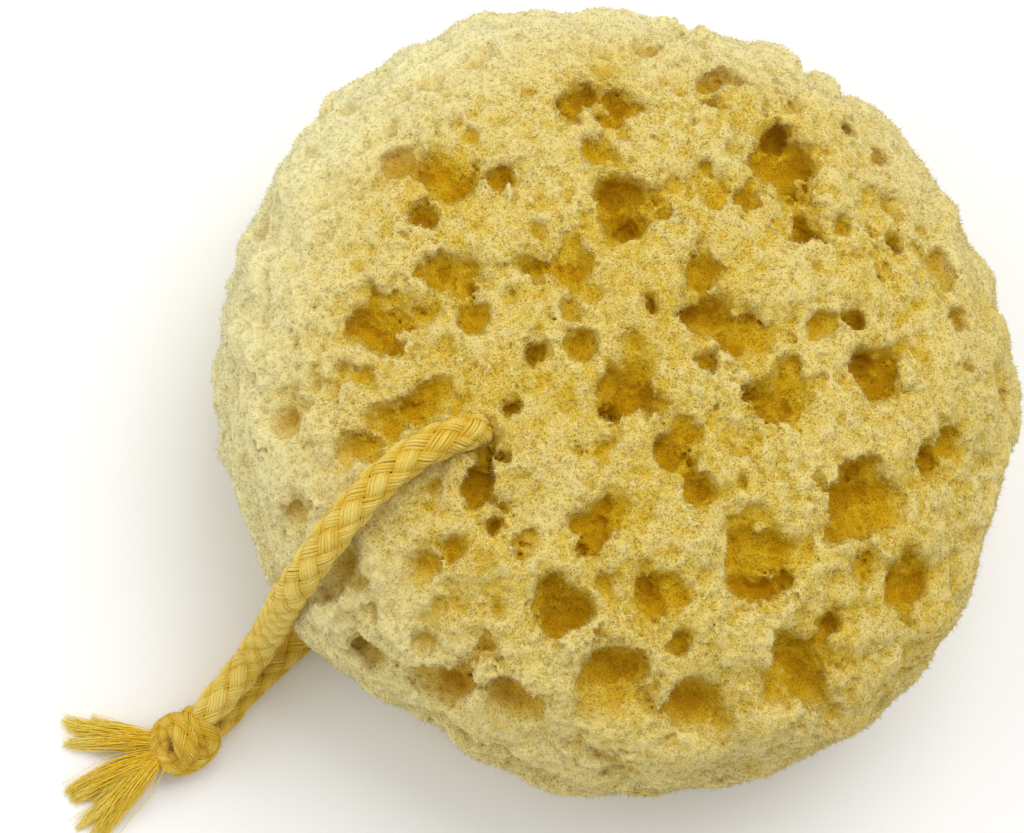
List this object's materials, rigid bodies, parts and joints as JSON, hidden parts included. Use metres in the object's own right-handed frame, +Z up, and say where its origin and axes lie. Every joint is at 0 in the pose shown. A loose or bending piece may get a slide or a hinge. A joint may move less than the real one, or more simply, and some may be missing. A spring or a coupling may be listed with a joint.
{
  "type": "sea sponge",
  "caption": "Round natural bath sponge with a pitted, crumbly face and a plaited cotton hanging cord, knotted and frayed at its ends, lying flat.",
  "frame": {"origin": "about 1 mm from under the middle of the sponge's outline, on the surface that it lies on", "axes": "+Z up, through the sponge from its resting face to its upper face; the cord leaves towards -X -Y"},
  "size_m": [0.165, 0.1481, 0.0654],
  "materials": {
    "sponge": "matte, crumbly and porous, straw yellow with golden pits",
    "cotton_cord": "matte plaited cotton, golden yellow"
  },
  "bodies": {
    "root": {"sponge": "sponge", "cord": "cotton_cord", "knot": "cotton_cord", "frayed_end_narrow": "cotton_cord", "frayed_end_wide": "cotton_cord"}
  },
  "joints": []
}
